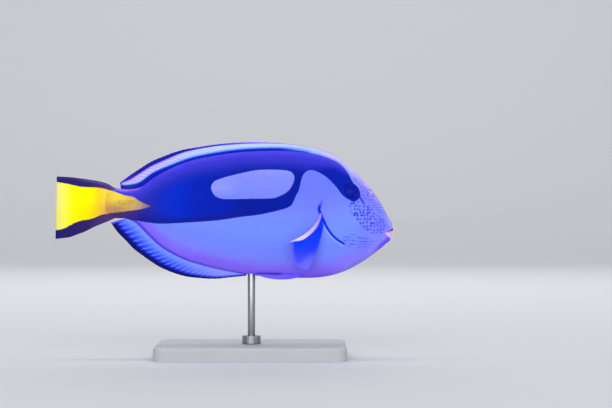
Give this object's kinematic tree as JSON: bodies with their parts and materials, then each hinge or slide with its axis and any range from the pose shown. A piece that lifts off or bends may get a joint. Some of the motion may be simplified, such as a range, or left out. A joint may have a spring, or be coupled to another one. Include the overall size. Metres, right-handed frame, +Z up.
{
  "type": "regal blue tang fish model on a display stand",
  "caption": "Life-size regal blue tang with folded back fin, yellow tail and spread side fins, held level by one short rod on a flat oblong base.",
  "frame": {"origin": "on the floor under the middle of the fish's length, in its middle plane", "axes": "+X the way the fish swims, +Y its left side, +Z up"},
  "size_m": [0.2002, 0.066, 0.1272],
  "materials": {
    "skin": "satin, finely scaled; royal blue with a dark blue marking",
    "fins": "satin, ribbed with rays",
    "tail": "satin, ribbed with rays",
    "eyes": "gloss",
    "spines": "satin",
    "stand_base": "fine matt powder coat",
    "stand_metal": "brushed"
  },
  "bodies": {
    "root": {"head": "skin", "upper_jaw": "skin", "lower_jaw": "skin", "gill_cover_left": "skin", "gill_cover_right": "skin", "trunk": "skin", "tail_stalk": "skin", "dorsal_fin": "fins", "anal_fin": "fins", "tail_fin": "tail", "pectoral_fin_left": "fins", "pectoral_fin_right": "fins", "pelvic_fin_left": "fins", "pelvic_fin_right": "fins", "eye_left": "eyes", "eye_right": "eyes", "tail_spine_left": "spines", "tail_spine_right": "spines", "stand_base": "stand_base", "stand_rod": "stand_metal", "stand_collar": "stand_metal"}
  },
  "joints": []
}
